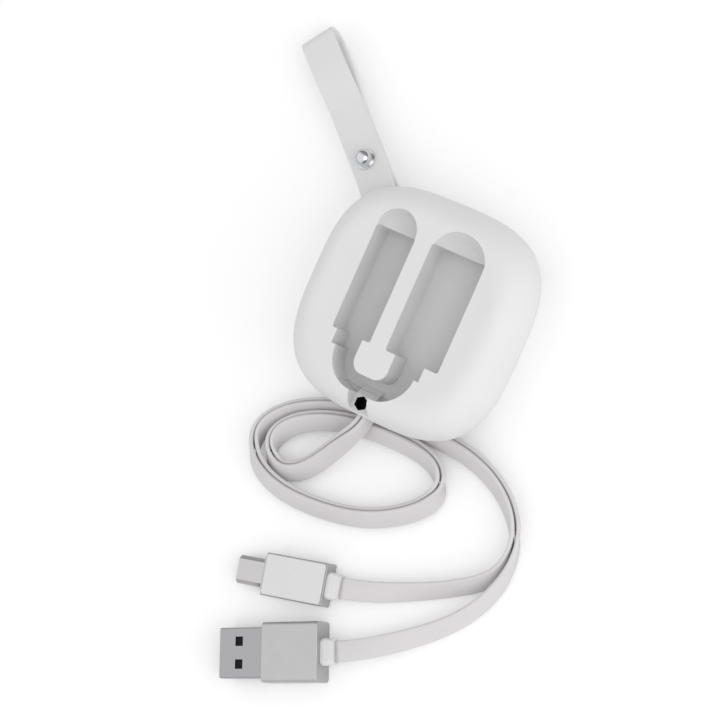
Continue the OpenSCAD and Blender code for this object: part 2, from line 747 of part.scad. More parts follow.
// Soft boot that narrows from the body to the ribbon
module boot() {
    rings = 3;
    for (i = [0 : rings - 1]) {
        s = i / rings;
        inset = (boot_t - ribbon_t) / 8 * (1 - s);
        t = boot_t - 2 * inset;
        bar(boot_l * s, boot_l * (s + 1 / rings), boot_w - 2 * inset, t, t / 3);
    }
}

module usb_boot() color("#dedede") at_usb() boot();

// Micro plug, from the boot outward
micro_root = boot_l + micro_body_l;
collar_l = 0.8;
collar_side = 0.9;
micro_wall = 0.25;
micro_seat = 2;
micro_bevel = 0.9;
micro_tip = micro_root + collar_l + micro_shell_l;
plate_t = 0.45;
plate_edge = 0.35;
micro_tongue_t = 0.6;
micro_pitch = 0.65;
latch_w = 0.7;
latch_l = 1.6;
latch_h = 0.35;
latch_apart = 4.4;
latch_at = 2.6;

// Section of the micro shell: a bar with two upper corners cut away
module micro_section(in) {
    w = micro_shell_w / 2 - in;
    t = micro_shell_t / 2 - in;
    polygon([[-w, -t], [w, -t], [w, t - micro_bevel], [w - micro_bevel, t],
        [micro_bevel - w, t], [-w, t - micro_bevel]]);
}

module micro_bar(from, to, in) {
    translate([from, 0, 0]) rotate([90, 0, 90]) linear_extrude(to - from) micro_section(in);
}

module micro_shell() color("#c9c9ca") {
    at_micro() difference() {
        micro_bar(micro_root - micro_seat, micro_tip, 0);
        micro_bar(micro_root - micro_seat - over, micro_tip + over, micro_wall);
        for (s = [-1, 1])
            translate([micro_tip - latch_at - latch_l, s * latch_apart / 2 - latch_w, -micro_shell_t])
            cube([latch_l + latch_w, 2 * latch_w, micro_shell_t]);
    }
}

module micro_tongue() color("#2c2c2e") {
    w = micro_shell_w - 2 * micro_bevel;
    h = micro_shell_t - 2 * micro_wall - 2 * fit_clear;
    at_micro() {
        translate([micro_root - micro_seat, -w / 2 + micro_wall, -h / 2])
            cube([micro_seat + collar_l, w - 2 * micro_wall, h]);
        translate([micro_root, -w / 2 + micro_wall, -h / 2])
            cube([micro_tip - micro_root - tongue_back, w - 2 * micro_wall, micro_tongue_t]);
    }
}

module micro_contacts() color("#d8b25a") {
    w = micro_pitch / 2;
    h = micro_shell_t / 2 - micro_wall - fit_clear;
    at_micro() for (s = [-2 : 2])
        translate([micro_root + collar_l + fit_clear, s * micro_pitch - w / 2, micro_tongue_t - h])
        cube([micro_shell_l - 2 * tongue_back, w, contact_t]);
}

module micro_latches() color("#b5b6b8") {
    top = micro_shell_t / 2;
    at_micro() for (s = [-1, 1])
        translate([micro_tip - latch_at - latch_l + fit_clear, s * latch_apart / 2, 0])
        rotate([-90, 0, 0]) linear_extrude(latch_w, center = true)
        polygon([[0, top - micro_wall], [latch_l, top - micro_wall], [latch_l / 2, top + latch_h], [0, top]]);
}

module micro_core() color("#6b6f73") {
    at_micro() bar(boot_l + core_back, micro_root - micro_seat, micro_body_w - 2 * core_wall - 2 * fit_clear,
        micro_body_t - 2 * plate_t - 2 * core_wall - 2 * fit_clear, body_r / 2);
}

module micro_case() color("#a9aaab") {
    t = micro_body_t - 2 * plate_t;
    at_micro() difference() {
        union() {
            bar(boot_l, micro_root, micro_body_w, t, body_r / 2);
            bar(micro_root, micro_root + collar_l, micro_shell_w + collar_side,
                micro_shell_t + collar_side, shell_r);
        }
        bar(boot_l + core_back - fit_clear, micro_root - micro_seat + fit_clear, micro_body_w - 2 * core_wall,
            t - 2 * core_wall, body_r / 2);
        micro_bar(micro_root - micro_seat, micro_tip, -fit_clear);
    }
}

module micro_plates() color("#dedede") {
    w = micro_body_w - 2 * plate_edge;
    at_micro() for (s = [-1, 1]) translate([boot_l + micro_body_l / 2, 0, s * (micro_body_t - plate_t) / 2])
        linear_extrude(plate_t, center = true) round_rect(micro_body_l - 2 * plate_edge, w, pocket_r);
}

module micro_boot() color("#dedede") at_micro() boot();

front_shell();
connector_tray();
back_shell();
case_screws();
reel_spool();
ribbon_winding();
power_spring();
spring_cover();
latch_ball();
strap_pin();
strap();
rivet_stud();
rivet_back();
micro_ribbon();
usb_ribbon();
usb_shell();
usb_tongue();
usb_contacts();
usb_core();
usb_case();
usb_boot();
micro_shell();
micro_tongue();
micro_contacts();
micro_latches();
micro_core();
micro_case();
micro_plates();
micro_boot();
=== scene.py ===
import json
import math

import bmesh
import bpy
from mathutils import Matrix, Vector

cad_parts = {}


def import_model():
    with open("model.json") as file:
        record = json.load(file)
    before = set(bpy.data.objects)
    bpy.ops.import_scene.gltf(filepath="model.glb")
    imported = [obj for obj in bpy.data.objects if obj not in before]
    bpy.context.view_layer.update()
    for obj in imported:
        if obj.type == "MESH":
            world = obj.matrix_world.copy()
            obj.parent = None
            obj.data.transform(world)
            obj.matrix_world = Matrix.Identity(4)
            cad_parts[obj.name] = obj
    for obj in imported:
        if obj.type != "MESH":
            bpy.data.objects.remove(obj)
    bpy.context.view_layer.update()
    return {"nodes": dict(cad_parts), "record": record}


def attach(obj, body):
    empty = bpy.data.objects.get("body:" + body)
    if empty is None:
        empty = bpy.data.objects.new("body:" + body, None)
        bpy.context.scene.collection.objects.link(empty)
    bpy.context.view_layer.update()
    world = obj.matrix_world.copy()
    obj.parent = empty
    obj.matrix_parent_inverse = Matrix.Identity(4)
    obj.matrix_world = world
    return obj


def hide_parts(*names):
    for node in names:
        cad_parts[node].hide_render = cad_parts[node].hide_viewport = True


# Looks of a retractable charging cable: a white reel case, its snap strap, and two flat ribbons with plugs
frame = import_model()

MM = 0.001

# Camera, fitted to the corners of the two recesses, the case's outline and the strap
CAMERA_PLACE = (255.65 * MM, 3.6 * MM, 507.87 * MM)
CAMERA_TURN = (10.49, 26.22, 26.87)
CAMERA_LENS = 120.1
CAMERA_NEAREST = 10 * MM
SENSOR = 36

# Ribbons: size, and their route as x, y, z in metres and the lean in degrees of the wide side from upright
RIBBON_WIDTH = 5 * MM
RIBBON_THICKNESS = 1 * MM
PAIR_GAP = 0.4 * MM
RIBBON_CORNER = 0.38 * MM
JOINED_ROUTE = [
    (-0.0016, -0.0220, 0.0100, 0), (-0.0016, -0.0280, 0.0100, 0), (-0.0040, -0.0320, 0.0088, 15),
    (-0.0080, -0.0368, 0.0058, 35), (-0.0124, -0.0426, 0.0034, 46), (-0.0164, -0.0464, 0.0028, 46),
    (-0.0210, -0.0482, 0.0028, 46), (-0.0250, -0.0462, 0.0028, 46), (-0.0262, -0.0424, 0.0028, 46),
    (-0.0246, -0.0386, 0.0032, 46), (-0.0210, -0.0354, 0.0038, 46), (-0.0150, -0.0322, 0.0038, 46),
    (-0.0070, -0.0300, 0.0038, 46), (0.0020, -0.0292, 0.0036, 46), (0.0100, -0.0292, 0.0030, 46),
    (0.0156, -0.0304, 0.0028, 46), (0.0190, -0.0330, 0.0028, 46), (0.0198, -0.0366, 0.0028, 46),
    (0.0182, -0.0402, 0.0028, 46), (0.0148, -0.0436, 0.0028, 46), (0.0084, -0.0478, 0.0028, 46),
    (0, -0.0508, 0.0028, 46), (-0.0100, -0.0522, 0.0032, 46), (-0.0190, -0.0522, 0.0038, 46),
    (-0.0268, -0.0496, 0.0038, 46), (-0.0306, -0.0452, 0.0032, 46), (-0.0306, -0.0404, 0.0028, 46),
    (-0.0276, -0.0360, 0.0028, 46), (-0.0220, -0.0318, 0.0028, 46), (-0.0130, -0.0280, 0.0028, 46),
    (-0.0020, -0.0256, 0.0028, 46), (0.0100, -0.0248, 0.0028, 46), (0.0200, -0.0248, 0.0028, 46),
    (0.0280, -0.0264, 0.0028, 46), (0.0350, -0.0296, 0.0028, 46), (0.0406, -0.0346, 0.0028, 46),
    (0.0432, -0.0406, 0.0028, 46)]
MICRO_ROUTE = [
    (0.0422, -0.0476, 0.0028, 46), (0.0364, -0.0524, 0.0028, 46), (0.0284, -0.0572, 0.0028, 46),
    (0.0204, -0.0612, 0.0028, 62), (0.0134, -0.0644, 0.0028, 80)]
USB_ROUTE = [
    (0.0438, -0.0482, 0.0028, 46), (0.0408, -0.0562, 0.0028, 46), (0.0350, -0.0636, 0.0028, 52),
    (0.0276, -0.0700, 0.0030, 66), (0.0194, -0.0762, 0.0032, 82)]
MICRO_END = (0.0066, -0.0664, 0.0027)
MICRO_AZIMUTH = 195
USB_END = (0.0124, -0.0802, 0.0033)
USB_AZIMUTH = 206
ROUTE_STEPS = 6
FLAT_LEAN = 90

# Strap, in its own frame: x from the pin to the tip, z out of its upper layer
STRAP_PIN = (-18.657 * MM, 18.657 * MM, 9.4 * MM)
STRAP_AZIMUTH = 141
STRAP_DROP = 7.6
STRAP_WIDTH = 9 * MM
STRAP_THICKNESS = 1.2 * MM
STRAP_LENGTH = 54 * MM
STRAP_EYE = 2.38 * MM
STRAP_TIP_GAP = 2.6 * MM
STRAP_TIP_LIFT = 1 * MM
STRAP_JOINED = (13 * MM, 30 * MM)
STRAP_OPENING = STRAP_LENGTH / 4
STRAP_SLACK = 0.01 * MM
STRAP_CORNER = 0.42 * MM
STRAP_LAYER_STEPS = 48
STRAP_BEND_STEPS = 12

# Case: sizes and places that its materials and its painted shade go by
CASE_TOP = 21 * MM
FACE_DEPTH = 0.35 * MM
FACE_LOWEST = CASE_TOP - 1.5 * FACE_DEPTH
FACE_HALF = (21.4 * MM, 20.86 * MM)
CASE_POWER = 3.2
TRAY_BOTTOM = 13 * MM
CHANNELS_MIDDLE = -0.25 * MM
CHANNELS_HALF = 11.25 * MM
CHANNELS_FOOT = -22.5 * MM
CHANNELS_TOP = 17.5 * MM
NOTCH_MIDDLE = -0.7 * MM
NOTCH_HALF = 2.75 * MM
NOTCH_START = -20.7 * MM
NOTCH_FLOOR = 16.5 * MM
HEXAGON_PLACE = (-1.2 * MM, -24.3 * MM)
HEXAGON_REACH = 1.9 * MM
HEIGHT_SLACK = 0.02 * MM
NOTCH_SLACK = 0.1 * MM

# How a face of the shell is told to be cut in, and so painted with shade: share of the face's reach, and
# parts of the face's normal
INSIDE_SHARE = 0.98
LEANS_IN = 0.2
WALL_LEAN = 0.3
SQUARE_ON = 0.9

# Screws in three corners of the back: head and shank as radius and height, cross as reach, arm and depth
SCREW_CORNER = 17.4 * MM
SCREWLESS_CORNER = 1
SCREW_SEAT = 4.2 * MM
SCREW_HEAD = (1.7 * MM, 1.2 * MM)
SCREW_HEAD_SHARES = [(1, 0), (1, 0.5), (0.93, 0.8), (0.8, 0.95), (0.7, 1)]
SCREW_SHANK = (0.85 * MM, 7 * MM)
SCREW_TIP_SHARES = (0.7, 0.92)
SCREW_CROSS = (1.05 * MM, 0.32 * MM, 0.7 * MM)
SCREW_CROSS_TAPER = 0.7
SCREW_STEPS = 48

# Contacts: distance from the ribbon's end, height, pitch across the plug, length, width and thickness
USB_CONTACTS = (20.85 * MM, -0.1 * MM, 2.16 * MM, 7.2 * MM, 1.08 * MM, 0.14 * MM)
USB_CONTACT_COUNT = 4
MICRO_CONTACTS = (20.75 * MM, 0, 0.65 * MM, 5.4 * MM, 0.325 * MM, 0.14 * MM)
MICRO_CONTACT_COUNT = 5
CONTACT_CORNER_SHARE = 0.3
CONTACT_BEND_SHARE = 1.2
CONTACT_LINE_SHARES = [(0, 0), (0.86, 0), (0.93, 0.3), (1, 1)]

# Meshes: points this near are one, faces this flat are one, and edges sharper than this are rounded
MERGE_DISTANCE = 0.001 * MM
FLAT_DEGREES = 0.5
SHARP_DEGREES = 30
ROUNDING_STEPS = 2

# Studio: the lamp lies to the right, and the floor glows a little to the camera so that it stays white
FLOOR_REACH = 2
FLOOR_COLOUR = "#f4f4f4"
FLOOR_GLOW = 0.17
LAMP_PLACE = (0.6, 0.05, 0.42)
LAMP_SIZE = 0.6
LAMP_POWER = 1.5
WHITE = (1, 1, 1, 1)

# Light from around: a range of the direction's Z or Y, and the strengths at its two ends
TENT_BY_HEIGHT = ((0.05, 0.35), (0.4, 1))
TENT_TO_BACK = ((0.4, 0.75), (1, 0.35))
LIGHT_TO_BACK = ((0, 0.9), (0.89, 0.64))

# Most values of a noise lie in this range
NOISE_SPREAD = (0.3, 0.7)


def linear(colour):
    """Linear RGBA of an sRGB hex colour."""
    values = [int(colour[i:i + 2], 16) / 255 for i in (1, 3, 5)]
    return [v / 12.92 if v <= 0.04045 else ((v + 0.055) / 1.055) ** 2.4 for v in values] + [1]


def add(tree, kind, settings=(), links=()):
    """Adds a node. Settings are properties or input values. Links join inputs to other nodes' outputs."""
    made = tree.nodes.new(kind)
    for name, value in dict(settings).items():
        if isinstance(name, str) and hasattr(made, name):
            setattr(made, name, value)
        else:
            made.inputs[name].default_value = value
    for name, output in dict(links).items():
        tree.links.new(output, made.inputs[name])
    return made


def start_material(name, roughness, metallic=0, ior=1.5):
    """A new material with its shader's own constants set, its tree, shader and Object coordinates."""
    material = bpy.data.materials.new(name)
    material.use_nodes = True
    tree = material.node_tree
    shader = tree.nodes["Principled BSDF"]
    shader.inputs["Roughness"].default_value = roughness
    shader.inputs["Metallic"].default_value = metallic
    shader.inputs["IOR"].default_value = ior
    return material, tree, shader, add(tree, "ShaderNodeTexCoord").outputs["Object"]


def map_range(tree, value, given, wanted):
    """A value carried over from a given range to a wanted one."""
    made = add(tree, "ShaderNodeMapRange", {"From Min": given[0], "From Max": given[1],
                                            "To Min": wanted[0], "To Max": wanted[1]}, {"Value": value})
    return made.outputs["Result"]


def mottled(tree, where, size, light, dark):
    """Colour that drifts softly between two tones, in patches of a given size."""
    noise = add(tree, "ShaderNodeTexNoise", {"Scale": 1 / size, "Detail": 3}, {"Vector": where})
    mix = add(tree, "ShaderNodeMix", {"data_type": "RGBA", 6: linear(dark), 7: linear(light)},
              {0: noise.outputs["Fac"]})
    return mix.outputs[2]


def raise_skin(tree, shader, noise, height):
    """Bump that follows a noise, up to a given height."""
    bump = add(tree, "ShaderNodeBump", {"Strength": 1, "Distance": height},
               {"Height": noise.outputs["Fac"]})
    tree.links.new(bump.outputs["Normal"], shader.inputs["Normal"])


def grain(tree, shader, where, size, height):
    """Fine bump of a given grain size and height."""
    noise = add(tree, "ShaderNodeTexNoise", {"Scale": 1 / size, "Detail": 2}, {"Vector": where})
    raise_skin(tree, shader, noise, height)


def uneven_roughness(tree, shader, where, size, low, high):
    """Roughness that drifts between two values, as handling leaves it."""
    noise = add(tree, "ShaderNodeTexNoise", {"Scale": 1 / size, "Detail": 4}, {"Vector": where})
    roughness = map_range(tree, noise.outputs["Fac"], NOISE_SPREAD, (low, high))
    tree.links.new(roughness, shader.inputs["Roughness"])


def soft_touch_abs():
    # Moulded ABS sprayed with a rubbery coat: an even white with no hard highlight and a hair-fine grain
    material, tree, shader, where = start_material("soft_touch_coated_abs", 0.55)
    tree.links.new(mottled(tree, where, 14 * MM, "#e5e5e5", "#e1e1e1"), shader.inputs["Base Color"])
    uneven_roughness(tree, shader, where, 9 * MM, 0.5, 0.62)
    # The coat's grain is about 0.05 mm, drawn at 0.3 mm so that it shows
    grain(tree, shader, where, 0.3 * MM, 0.008 * MM)
    shader.inputs["Sheen Weight"].default_value = 0.06
    return material


def spark_textured_abs():
    # Grey ABS moulded in a spark-eroded tool: matt, with a fine pitted skin. The same grey is painted shade
    # on the cut-in walls of the white shell
    material, tree, shader, where = start_material("spark_textured_grey_abs_and_painted_recess_shade", 0.6)
    tree.links.new(mottled(tree, where, 7 * MM, "#d1d1d1", "#cbcbcb"), shader.inputs["Base Color"])
    uneven_roughness(tree, shader, where, 5 * MM, 0.55, 0.68)
    # Spark texture is about 0.08 mm across, drawn at 0.25 mm so that it shows
    grain(tree, shader, where, 0.25 * MM, 0.012 * MM)
    return material


def moulded_silicone():
    # White silicone rubber: soft, slightly milky, with a dusty sheen at grazing angles
    material, tree, shader, where = start_material("moulded_white_silicone", 0.5, ior=1.41)
    tree.links.new(mottled(tree, where, 10 * MM, "#e5e5e5", "#dfdfdf"), shader.inputs["Base Color"])
    uneven_roughness(tree, shader, where, 6 * MM, 0.44, 0.58)
    # The mould's blasted skin is about 0.1 mm across, drawn at 0.35 mm so that it shows
    grain(tree, shader, where, 0.35 * MM, 0.01 * MM)
    shader.inputs["Sheen Weight"].default_value = 0.1
    return material


def extruded_tpe():
    # Thermoplastic elastomer drawn through a die: satin white with faint lines along its length
    material, tree, shader, where = start_material("extruded_white_tpe", 0.42)
    uv = add(tree, "ShaderNodeUVMap", {"uv_map": "along"}).outputs["UV"]
    tree.links.new(mottled(tree, where, 12 * MM, "#dbd9d9", "#d5d3d3"), shader.inputs["Base Color"])
    # Die lines are about 0.05 mm apart, drawn at 0.35 mm so that they show
    drawn = add(tree, "ShaderNodeMapping", {"Scale": (1 / (30 * MM), 1 / (0.35 * MM), 1)}, {"Vector": uv})
    lines = add(tree, "ShaderNodeTexNoise", {"Scale": 1, "Detail": 2}, {"Vector": drawn.outputs["Vector"]})
    raise_skin(tree, shader, lines, 0.012 * MM)
    return material


def nickel_plate(name, colour, low, high):
    # Bright nickel on pressed steel: mirror-like, softened by faint rubbing marks
    material, tree, shader, where = start_material(name, low, metallic=1)
    shader.inputs["Base Color"].default_value = linear(colour)
    uneven_roughness(tree, shader, where, 3 * MM, low, high)
    # Rubbing marks, a few hundredths of a millimetre wide, drawn at 0.15 mm
    grain(tree, shader, where, 0.15 * MM, 0.0015 * MM)
    return material


def satin_aluminium():
    # Bead-blasted and anodised aluminium: an even satin grey that never mirrors
    material, tree, shader, where = start_material("blasted_anodised_aluminium", 0.38, metallic=1)
    tree.links.new(mottled(tree, where, 5 * MM, "#c6c6c7", "#c0c0c1"), shader.inputs["Base Color"])
    uneven_roughness(tree, shader, where, 4 * MM, 0.34, 0.46)
    # Bead marks are about 0.05 mm, drawn at 0.2 mm so that they show
    grain(tree, shader, where, 0.2 * MM, 0.006 * MM)
    return material


def gloss_polycarbonate():
    # Moulded polycarbonate plate: clean white with a clear, low highlight
    material, tree, shader, where = start_material("moulded_white_polycarbonate", 0.3, ior=1.58)
    tree.links.new(mottled(tree, where, 9 * MM, "#e0e0e0", "#dcdcdc"), shader.inputs["Base Color"])
    uneven_roughness(tree, shader, where, 4 * MM, 0.26, 0.36)
    # Faint waves of the moulded skin, 0.4 mm apart
    grain(tree, shader, where, 0.4 * MM, 0.003 * MM)
    return material


def moulded_nylon(name, light, dark, shine=0.5):
    # Glass-filled nylon insulator: dull, with a slightly cloudy colour
    material, tree, shader, where = start_material(name, 0.5)
    shader.inputs["Specular IOR Level"].default_value = shine
    tree.links.new(mottled(tree, where, 2 * MM, light, dark), shader.inputs["Base Color"])
    # Glass fibres near the skin, at 0.12 mm
    grain(tree, shader, where, 0.12 * MM, 0.006 * MM)
    return material


def gold_flash():
    # Thin gold over nickel on the contacts: warm and bright, worn paler in places
    material, tree, shader, where = start_material("gold_flashed_contact", 0.25, metallic=1)
    tree.links.new(mottled(tree, where, 1.5 * MM, "#e3bd63", "#d9b873"), shader.inputs["Base Color"])
    uneven_roughness(tree, shader, where, 0.8 * MM, 0.18, 0.34)
    return material


def drawn_steel(name, light, dark):
    # Bare rolled or turned steel: dull grey with fine marks from its making
    material, tree, shader, where = start_material(name, 0.35, metallic=1)
    tree.links.new(mottled(tree, where, 3 * MM, light, dark), shader.inputs["Base Color"])
    uneven_roughness(tree, shader, where, 1.2 * MM, 0.28, 0.45)
    # Marks of the rolls and tools, at 0.1 mm
    grain(tree, shader, where, 0.1 * MM, 0.002 * MM)
    return material


FINISH = {
    "shell_white": soft_touch_abs(),
    "tray_grey": spark_textured_abs(),
    "reel_plastic": moulded_nylon("moulded_acetal", "#d6d6d6", "#cfcfcf"),
    "spring_steel": drawn_steel("blued_spring_steel", "#8f959d", "#7d838b"),
    "screw_steel": drawn_steel("zinc_plated_steel", "#a9abae", "#97999d"),
    "rivet_metal": nickel_plate("polished_nickel", "#d6d7d9", 0.05, 0.12),
    "strap_white": moulded_silicone(),
    "ribbon_white": extruded_tpe(),
    "boot_white": moulded_silicone(),
    "plug_chrome": nickel_plate("bright_nickel_plate", "#bcbcbe", 0.14, 0.24),
    "case_silver": satin_aluminium(),
    "plate_white": gloss_polycarbonate(),
    # The black nylon also stands as painted shade on the walls of the shell's six-sided socket, for the
    # darkness of a deep hole
    "tongue_black": moulded_nylon("black_nylon_and_painted_socket_shade", "#18181b", "#101012", shine=0.15),
    "core_dark": moulded_nylon("overmoulded_polyethylene", "#5a5d61", "#4d5054"),
    "contact_gold": gold_flash(),
}
# The photograph shows the micro plug's shell paler than the USB-A plug's
SHELL_FINISH = {"usb_shell": nickel_plate("grey_nickel_plate", "#adadaf", 0.14, 0.24),
                "micro_shell": nickel_plate("pale_nickel_plate", "#cccacb", 0.14, 0.24)}
NODE_SLOT = {part["node"]: part["material_slot"] for part in frame["record"]["subparts"]}
NODE_BODY = {node: body for body, nodes in frame["record"]["behaviour"]["bodies"].items() for node in nodes}


def show(mesh, name, node, smooth=True):
    """Links a mesh as the piece that stands for a CAD node, on its body and with its finish."""
    made = bpy.data.objects.new(name, mesh)
    bpy.context.scene.collection.objects.link(made)
    if not mesh.materials:
        mesh.materials.append(SHELL_FINISH.get(node, FINISH[NODE_SLOT[node]]))
    if smooth:
        mesh.shade_smooth()
    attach(made, NODE_BODY[node])
    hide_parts(node)
    return made


def tidy_normals(mesh):
    """Merges doubled points and turns every face of a closed mesh outwards."""
    work = bmesh.new()
    work.from_mesh(mesh)
    bmesh.ops.remove_doubles(work, verts=work.verts, dist=MERGE_DISTANCE)
    bmesh.ops.recalc_face_normals(work, faces=work.faces)
    work.to_mesh(mesh)
    work.free()


def loft(name, rings, closed=False, lengths=None):
    """Mesh through rings of points, capped at both ends or joined into a loop. Lengths give its UV map."""
    count = len(rings[0])
    points = [p for ring in rings for p in ring]
    spans = len(rings) if closed else len(rings) - 1
    faces = []
    corners = []
    for i in range(spans):
        a, b = i * count, (i + 1) % len(rings) * count
        for j in range(count):
            k = (j + 1) % count
            faces.append((a + j, a + k, b + k, b + j))
            corners.append((i, j))
    if not closed:
        faces.append(tuple(range(count - 1, -1, -1)))
        faces.append(tuple((len(rings) - 1) * count + j for j in range(count)))
    mesh = bpy.data.meshes.new(name)
    mesh.from_pydata(points, [], faces)
    if lengths:
        layer = mesh.uv_layers.new(name="along")
        girth = [0]
        for j in range(count):
            girth.append(girth[-1] + (Vector(rings[0][(j + 1) % count]) - Vector(rings[0][j])).length)
        for face, (i, j) in zip(mesh.polygons, corners):
            near, far = lengths[i:i + 2]
            low, high = girth[j:j + 2]
            for loop, uv in zip(face.loop_indices, [(near, low), (near, high), (far, high), (far, low)]):
                layer.data[loop].uv = uv
    return mesh


def rounded_section(width, thickness, corner, steps=4):
    """Outline of a flat bar with round corners, as offsets across its width and its thickness."""
    outline = []
    for quarter in range(4):
        across = (1, -1, -1, 1)[quarter] * (width / 2 - corner)
        up = (1, 1, -1, -1)[quarter] * (thickness / 2 - corner)
        for k in range(steps):
            a = math.radians(90 * quarter + 90 * k / (steps - 1))
            outline.append((across + corner * math.cos(a), up + corner * math.sin(a)))
    return outline


def smooth_route(points, steps):
    """Points of an even curve along given points. Each value of a point is eased in the same way."""
    before = [2 * a - b for a, b in zip(points[0], points[1])]
    after = [2 * a - b for a, b in zip(points[-1], points[-2])]
    guides = [before, *points, after]
    route = []
    for i in range(len(points) - 1):
        for k in range(steps):
            s = k / steps
            route.append([((1 - s) ** 3 * p + (3 * s ** 3 - 6 * s * s + 4) * q
                           + (3 * s * s - 3 * s ** 3 + 3 * s + 1) * r + s ** 3 * t) / 6
                          for p, q, r, t in zip(*guides[i:i + 4])])
    route.append(list(points[-1]))
    return route


def ribbon(name, node, branch, end, azimuth, side):
    """One flat ribbon: its piece, and the points of its centreline."""
    shift = side * (RIBBON_THICKNESS + PAIR_GAP) / 2
    points = [(*p, shift) for p in JOINED_ROUTE] + [(*p, 0) for p in branch] + [(*end, FLAT_LEAN, 0)]
    route = smooth_route(points, ROUTE_STEPS)
    section = rounded_section(RIBBON_WIDTH, RIBBON_THICKNESS, RIBBON_CORNER)
    rings, path, lengths = [], [], [0]
    for i, (x, y, z, lean, off) in enumerate(route):
        here = Vector((x, y, z))
        if i == len(route) - 1:
            turn = math.radians(azimuth)
            ahead = Vector((math.cos(turn), math.sin(turn), 0))
        else:
            ahead = (Vector(route[i + 1][:3]) - Vector(route[max(i - 1, 0)][:3])).normalized()
        up = Vector((0, math.sin(math.radians(lean)), math.cos(math.radians(lean))))
        wide = (up - up.dot(ahead) * ahead).normalized()
        thin = ahead.cross(wide)
        centre = here + off * thin
        if path:
            lengths.append(lengths[-1] + (centre - path[-1]).length)
        path.append(centre)
        rings.append([centre + a * wide + b * thin for a, b in section])
    mesh = loft(name, rings, lengths=lengths)
    tidy_normals(mesh)
    return show(mesh, name, node), path, lengths[-1]


def ease(s):
    """Share of a change at a share of its way, with a soft start and end."""
    return s * s * (3 - 2 * s)


def strap_layer(x):
    """Height of the middle of the strap's upper layer at a distance from its pin."""
    flat = STRAP_THICKNESS
    tip = STRAP_TIP_GAP / 2 + STRAP_THICKNESS
    if x < STRAP_JOINED[0]:
        half = flat + (STRAP_EYE - flat) * (1 - ease(x / STRAP_JOINED[0]))
    elif x < STRAP_JOINED[1]:
        half = flat
    else:
        half = flat + (tip - flat) * ease(min(1, (x - STRAP_JOINED[1]) / STRAP_OPENING))
    return half - STRAP_THICKNESS / 2 + STRAP_SLACK


def strap_lift(x):
    """How far the strap's upper layer springs up towards its tip."""
    return STRAP_TIP_LIFT * ease(max(0, (x - STRAP_JOINED[1]) / (STRAP_LENGTH - STRAP_JOINED[1])))


def strap():
    """The folded strap: one band round the pin, along both layers and round the tip."""
    eye_radius = STRAP_EYE - STRAP_THICKNESS / 2
    tip_radius = (STRAP_TIP_GAP + STRAP_TIP_LIFT + STRAP_THICKNESS) / 2
    reach = STRAP_LENGTH - tip_radius - STRAP_THICKNESS / 2
    places = [reach * i / STRAP_LAYER_STEPS for i in range(STRAP_LAYER_STEPS)]
    turns = [math.pi * i / STRAP_BEND_STEPS for i in range(STRAP_BEND_STEPS + 1)]
    line = [(x, strap_layer(x) + strap_lift(x)) for x in places]
    tip_height = STRAP_TIP_LIFT / 2
    line += [(reach + tip_radius * math.sin(a), tip_height + tip_radius * math.cos(a)) for a in turns]
    line += [(x, -strap_layer(x)) for x in places[:0:-1]]
    line += [(-eye_radius * math.sin(a), -eye_radius * math.cos(a)) for a in turns[:-1]]
    to_frame = (Matrix.Translation(STRAP_PIN) @ Matrix.Rotation(math.radians(STRAP_AZIMUTH), 4, "Z")
                @ Matrix.Rotation(math.radians(STRAP_DROP), 4, "Y"))
    section = rounded_section(STRAP_WIDTH, STRAP_THICKNESS, STRAP_CORNER)
    rings = []
    for i, (x, z) in enumerate(line):
        before, after = line[i - 1], line[(i + 1) % len(line)]
        ahead = Vector((after[0] - before[0], 0, after[1] - before[1])).normalized()
        across = Vector((0, 1, 0))
        out = ahead.cross(across)
        rings.append([to_frame @ (Vector((x, 0, z)) + a * across + b * out) for a, b in section])
    mesh = loft("folded_strap", rings, closed=True)
    tidy_normals(mesh)
    show(mesh, "folded_strap", "strap")


def finished_copy(node, name, edge):
    """Shows a copy of a CAD node in its place, with its flat facets joined and its edges rounded."""
    mesh = frame["nodes"][node].data.copy()
    mesh.name = name
    mesh.materials.clear()
    work = bmesh.new()
    work.from_mesh(mesh)
    bmesh.ops.remove_doubles(work, verts=work.verts, dist=MERGE_DISTANCE)
    bmesh.ops.dissolve_limit(work, angle_limit=math.radians(FLAT_DEGREES),
                             verts=work.verts, edges=work.edges)
    work.to_mesh(mesh)
    work.free()
    made = show(mesh, name, node)
    rounding = made.modifiers.new("rounded_edges", "BEVEL")
    rounding.width = edge
    rounding.segments = ROUNDING_STEPS
    rounding.limit_method = "ANGLE"
    rounding.angle_limit = math.radians(SHARP_DEGREES)
    rounding.harden_normals = True
    even = made.modifiers.new("even_shading", "WEIGHTED_NORMAL")
    even.keep_sharp = True
    return made


def is_cut_in(place, normal):
    """Whether a face of the shell lies in a recess, a scoop or a channel, and not on its outside."""
    x, y, z = place
    under_face = abs(x / FACE_HALF[0]) ** CASE_POWER + abs(y / FACE_HALF[1]) ** CASE_POWER < INSIDE_SHARE
    leans_in = normal.x * x + normal.y * y < -LEANS_IN * math.hypot(x, y)
    in_channels = abs(x - CHANNELS_MIDDLE) < CHANNELS_HALF and CHANNELS_FOOT < y < 0
    return under_face or leans_in or in_channels and (abs(normal.z) < WALL_LEAN or z < CHANNELS_TOP)


